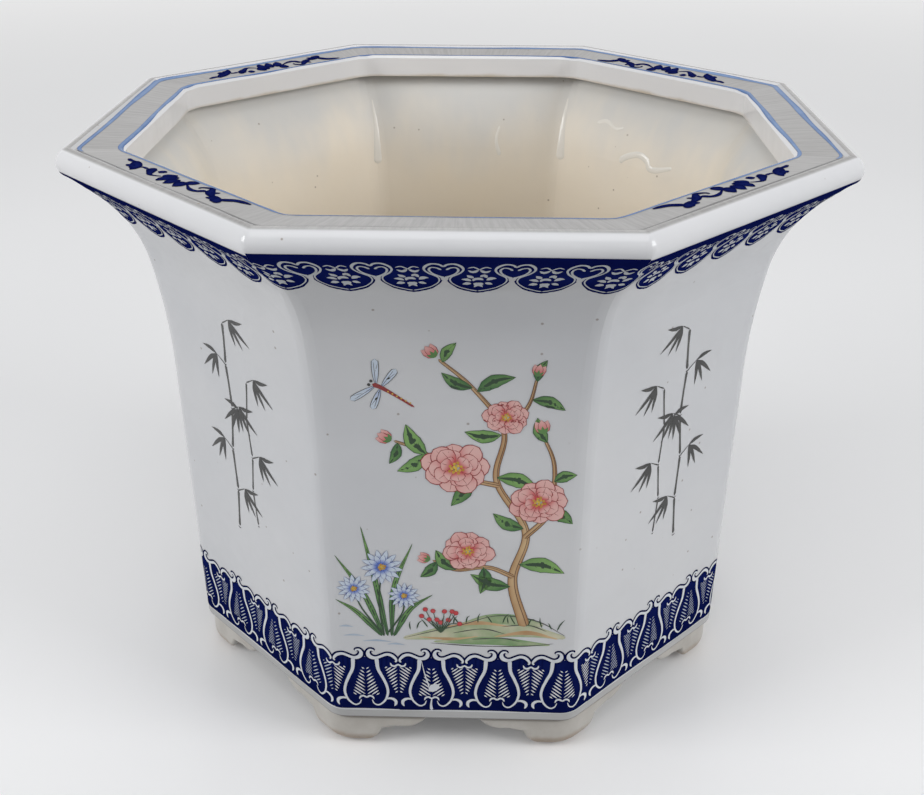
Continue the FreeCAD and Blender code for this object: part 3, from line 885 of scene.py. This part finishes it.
def flower_panel(side, way, coats):
    """Flowering shrub that leans in from the right over asters, berries and a bank."""
    blades = ([(-36, 52), (-46, 80), (-60, 104)], [(-34, 52), (-40, 90), (-46, 122)],
              [(-32, 52), (-30, 84), (-20, 112)], [(-37, 52), (-50, 68), (-61, 76)],
              [(-31, 52), (-22, 70), (-10, 80)])
    twigs = (([(38, 60), (31, 90), (37, 120), (22, 150), (25, 178), (10, 202), (-6, 218)],
              (5.5, 4.4, 3.4, 2.8, 2.2, 1.6, 1.0)),
             ([(36, 116), (48, 132), (50, 158), (44, 176)], (2.6, 2.2, 1.6, 0.9)),
             ([(24, 147), (6, 152), (-14, 166), (-28, 172)], (2.4, 2.0, 1.4, 0.8)),
             ([(32, 92), (18, 98), (2, 96), (-10, 102)], (2.4, 1.9, 1.3, 0.8)),
             ([(24, 176), (36, 192), (40, 208)], (1.8, 1.3, 0.8)))
    stalks = ([(-36, 52), (-38, 74), (-36, 96)], [(-37, 54), (-47, 70), (-51, 82)],
              [(-34, 54), (-26, 68), (-25, 78)])
    leaves = ((34, 100, -12, 24, 9), (30, 86, 160, 22, 8), (48, 132, -28, 14, 7), (36, 122, 150, 18, 7),
              (50, 150, 20, 12, 6), (22, 152, -20, 22, 8), (8, 153, 245, 20, 8), (-12, 164, 120, 20, 8),
              (-12, 165, 215, 18, 7), (24, 176, 175, 18, 7), (12, 200, 25, 20, 7), (10, 202, 150, 17, 6),
              (40, 206, 70, 13, 5), (38, 196, -20, 17, 6), (2, 96, 130, 16, 7), (16, 98, 265, 17, 7),
              (-8, 101, 230, 13, 6), (46, 172, 110, 15, 6), (-4, 216, 60, 13, 5), (-26, 171, 250, 13, 5))
    buds = ((-7, 219, 130, 8), (40, 209, 80, 7), (44, 177, 100, 8), (-29, 172, 150, 8), (-11, 102, 160, 7))
    panel = Panel(side, way, coats)
    bank(panel)
    panel.depth = BLADE_LIFT
    for spine in blades:
        panel.brush("leaf_edge", spine, (1.4, 3.3, 2.6, 0.3), columns=4)
        panel.brush("leaf", spine, (1.0, 2.6, 2.0, 0.1), (0.8, 0.4, 0.2), 0.2, 4)
        panel.brush("leaf_edge", spine, (0.4, 0.3, 0.15))
    panel.depth = TWIG_LIFT
    for spine, widths in twigs:
        twig(panel, spine, widths)
    for spine in stalks:
        panel.brush("leaf_edge", spine, (1.1, 0.9, 0.7))
    for x, y, angle, length, width in leaves:
        leaf(panel, x, y, angle, length, width, 0.3 + 0.25 * math.sin(x * 0.7 + y))
    for x, y, angle, size in buds:
        bud(panel, x, y, angle, size)
    for x, y, size, spin in ((-36, 97, 11, 10), (-51, 83, 9, 30), (-25, 79, 8.5, 50)):
        aster(panel, x, y, size, spin)
    for index in range(11):
        berry = (-16 + 2.0 * index, 66 + 4 * math.sin(index * 2.4) + 2 * math.sin(index))
        panel.brush("leaf_edge", [(-6, 55), ((berry[0] - 6) / 2, 61), berry], (0.7, 0.5, 0.4))
        panel.dot("rose_edge", *berry, 2.9, 0.3)
        panel.dot("rose", *berry, 2.3, 0.95)
    for x, y, size, spin in ((2, 157, 18, 10), (43, 138, 16, 40), (8, 108, 14.5, 75), (26, 186, 12, 20)):
        bloom(panel, x, y, size, spin)
    panel.depth = BLADE_LIFT
    dragonfly(panel, -34, 202, 152)


def ink_panel(side, way, coats):
    """Slim ink bamboo on the slanting sides."""
    canes = (([(14, 82), (11, 108), (12, 134), (8, 160), (9, 186), (4, 212)], 1.9),
             ([(-6, 92), (-4, 114), (-7, 136), (-5, 158), (-9, 182)], 1.3))
    knots = ((4, 212, -1), (9, 186, 1), (8, 160, -1), (12, 134, 1), (11, 108, -1), (-9, 182, -1),
             (-5, 158, 1), (-7, 136, -1))
    panel = Panel(side, way, coats)
    for points, width in canes:
        cane_widths = (width * 1.1, width * 0.8, width * 0.8, width * 1.1)
        for start, end in zip(points, points[1:]):
            x, y = start
            foot = (x + 0.05 * (end[0] - x), y + 1.0)
            ring = [(x - width * 0.8, y + 0.3), (x, y), (x + width * 0.8, y + 0.5)]
            panel.brush("ink", [foot, end], cane_widths, (0.7, 0.45, 0.6), columns=4)
            panel.brush("ink", ring, (0.3, 0.8, 0.3), (1.0,))
    for x, y, lean in knots:
        fork = (x + lean * 7, y + 4)
        panel.brush("ink", [(x, y), fork], (0.8, 0.4))
        for angle, reach in ((-38, 19), (-62, 17), (-84, 15), (8, 13)):
            angle = angle if lean > 0 else 180 - angle
            tip = polar(*fork, angle, reach)
            mid = polar(*polar(*fork, angle, reach * 0.45), angle + 90, 0.8)
            panel.brush("ink", [fork, mid, tip], (0.4, 2.6, 1.9, 0.1), (0.9, 0.75, 0.5), columns=4)


def dress():
    """Give every CAD node its glaze, and lay the painted pieces on."""
    glazes = {"wall_": wall_glaze(), "rim_": rim_glaze(), "floor_": floor_glaze(), "foot_": foot_glaze()}
    for name, node in NODES.items():
        for start, material in glazes.items():
            if name.startswith(start):
                node.data.materials.clear()
                node.data.materials.append(material)
    navy = paint("cobalt_print", (0.008, 0.016, 0.125), (0.0025, 0.005, 0.048), gloss=1.0)
    reserve = paint("white_reserve", (0.78, 0.80, 0.82), (0.30, 0.38, 0.56), cloud=0.2)
    pale = paint("pale_cobalt_wash", (0.21, 0.33, 0.56), (0.05, 0.12, 0.32), gloss=1.15)
    grey = paint("grey_line_and_crease_shade", (0.27, 0.265, 0.26), (0.13, 0.13, 0.13), gloss=1.15)
    brush = paint("cobalt_brush", (0.012, 0.022, 0.15), (0.004, 0.007, 0.065), gloss=1.0)
    leaf_blue = Coat("leaf_border_blue", "wall_glaze", navy)
    leaf_white = Coat("leaf_border_white", "wall_glaze", reserve)
    leaf_border(leaf_blue, leaf_white)
    dull_navy = paint("cobalt_print_under_lip", (0.012, 0.024, 0.18), (0.004, 0.008, 0.085), gloss=1.0)
    dull_white = paint("white_reserve_under_lip", (0.70, 0.72, 0.74), (0.62, 0.65, 0.68), gloss=1.0)
    top_blue = Coat("lip_border_blue", "wall_glaze", dull_navy)
    top_white = Coat("lip_border_white", "wall_glaze", dull_white)
    medallion_border(top_blue, top_white)
    wash = Coat("rim_lines_blue", "rim_glaze", pale)
    line = Coat("rim_line_grey_and_crease_shade", "rim_glaze", grey)
    sprig = Coat("rim_sprigs", "rim_glaze", brush)
    rim_lines(wash, line)
    rim_sprigs(sprig)
    # Pale thick glaze; at the inner corners its streaks are painted highlights.
    thick = paint("thick_glaze_and_highlight_streaks", (0.76, 0.73, 0.67), (0.80, 0.77, 0.71))
    runs = Coat("glaze_runs_and_highlight_streaks", "wall_glaze", thick, inner=True)
    glaze_runs_and_highlight_streaks(runs)
    coats = {"leaf": paint("leaf_green", (0.22, 0.42, 0.11), (0.025, 0.13, 0.03)),
             "leaf_edge": paint("dark_green_line", (0.03, 0.09, 0.03), (0.01, 0.04, 0.012)),
             "rose": paint("rose_pink", (0.82, 0.50, 0.46), (0.58, 0.04, 0.05)),
             "rose_edge": paint("crimson_line", (0.40, 0.03, 0.03), (0.20, 0.012, 0.012)),
             "gold": paint("gold_yellow", (0.75, 0.52, 0.06), (0.50, 0.22, 0.02)),
             "aster": paint("aster_blue", (0.62, 0.70, 0.80), (0.06, 0.14, 0.55)),
             "aster_edge": paint("blue_line", (0.05, 0.09, 0.36), (0.02, 0.04, 0.20)),
             "bark": paint("tan_bark", (0.70, 0.50, 0.27), (0.38, 0.19, 0.07)),
             "bark_edge": paint("brown_line", (0.20, 0.09, 0.035), (0.08, 0.035, 0.014)),
             "moss": paint("moss_wash", (0.66, 0.62, 0.45), (0.20, 0.34, 0.14), cloud_scale=120.0, cloud=0.9),
             "water": paint("water_wash", (0.55, 0.62, 0.70), (0.25, 0.36, 0.52)),
             "ink": paint("black_ink", (0.10, 0.10, 0.09), (0.008, 0.008, 0.008))}
    coats = {name: Coat("panel_" + name, "wall_glaze", material) for name, material in coats.items()}
    for side, way in ((0, 1), (2, -1), (4, 1), (6, -1)):
        flower_panel(side, way, coats)
    for side, way in ((1, 1), (3, -1), (5, 1), (7, -1)):
        ink_panel(side, way, coats)
    for coat in (leaf_blue, leaf_white, top_blue, top_white, wash, line, sprig, runs, *coats.values()):
        coat.finish()


def seen(start):
    """1 for what the camera sees, by way of a reflection too, and 0 for rays that only carry light."""
    camera, glossy, through = (start.add("ShaderNodeLightPath", {}, output=f"Is {kind} Ray")
                               for kind in ("Camera", "Glossy", "Transmission"))
    return camera.most(glossy).most(through)


def pale_floor():
    """Floor that is pale and glows a little far off where it is seen, and throws less light than it shows."""
    bpy.ops.object.select_all(action="DESELECT")
    bpy.ops.mesh.primitive_plane_add(size=60, location=(0, 0, 0))
    floor = bpy.context.object
    floor.name = "studio_floor"
    finish = Finish("pale_floor", 0.6)
    tint = finish.place.noise(1.3, 2.0).ramp(0.3, 0.7)
    far = finish.place.length().ramp(0.6, 3.2)
    pale = far.blend(tint.blend(rgb(0.76, 0.76, 0.76), rgb(0.79, 0.79, 0.79)), rgb(0.20, 0.20, 0.20))
    finish.feed("Base Color", seen(finish.any).blend(rgb(0.42, 0.42, 0.42), pale))
    glow = far.blend(rgb(0.10, 0.10, 0.10), rgb(0.64, 0.64, 0.64))
    finish.feed("Emission Color", seen(finish.any).blend(rgb(0, 0, 0), glow))
    finish.shader.inputs["Emission Strength"].default_value = 1.0
    floor.data.materials.append(finish.material)


def lamps():
    """Soft lamps round the pot and above it."""
    for name, place, aim, size, power in SOFTBOXES:
        lamp = bpy.data.lights.new(name, "AREA")
        lamp.size = size
        lamp.energy = power
        lamp_object = bpy.data.objects.new(name, lamp)
        lamp_object.location = place
        lamp_object.rotation_euler = (Vector(aim) - Vector(place)).to_track_quat("-Z", "Y").to_euler()
        bpy.context.scene.collection.objects.link(lamp_object)


def soft_room():
    """Dim cool light from all round, and a pale backdrop where the world itself is seen."""
    world = bpy.data.worlds.new("soft_room")
    world.use_nodes = True
    sky = Value(world.node_tree, None)
    light = sky.add("ShaderNodeBackground", {"Color": rgb(0.93, 0.95, 1.0), "Strength": 0.30})
    backdrop = sky.add("ShaderNodeBackground", {"Color": rgb(1.0, 1.0, 1.0), "Strength": 0.80})
    both = sky.add("ShaderNodeMixShader", {0: seen(sky), 1: light, 2: backdrop})
    world.node_tree.links.new(both.socket, world.node_tree.nodes["World Output"].inputs["Surface"])
    bpy.context.scene.world = world


def photo_view():
    """Camera where the photo was taken from."""
    lens = bpy.data.cameras.new("camera")
    lens.lens = FOCAL_LENGTH
    lens.sensor_width = SENSOR_WIDTH
    lens.sensor_fit = "HORIZONTAL"
    lens.clip_start = 0.01
    camera = bpy.data.objects.new("camera", lens)
    camera.location = CAMERA_PLACE
    camera.rotation_euler = (math.radians(90 - CAMERA_DIP), CAMERA_LEAN, CAMERA_TURN)
    bpy.context.scene.collection.objects.link(camera)
    bpy.context.scene.camera = camera
    bpy.context.scene.view_settings.view_transform = "Standard"


dress()
pale_floor()
lamps()
soft_room()
photo_view()
bpy.context.view_layer.update()
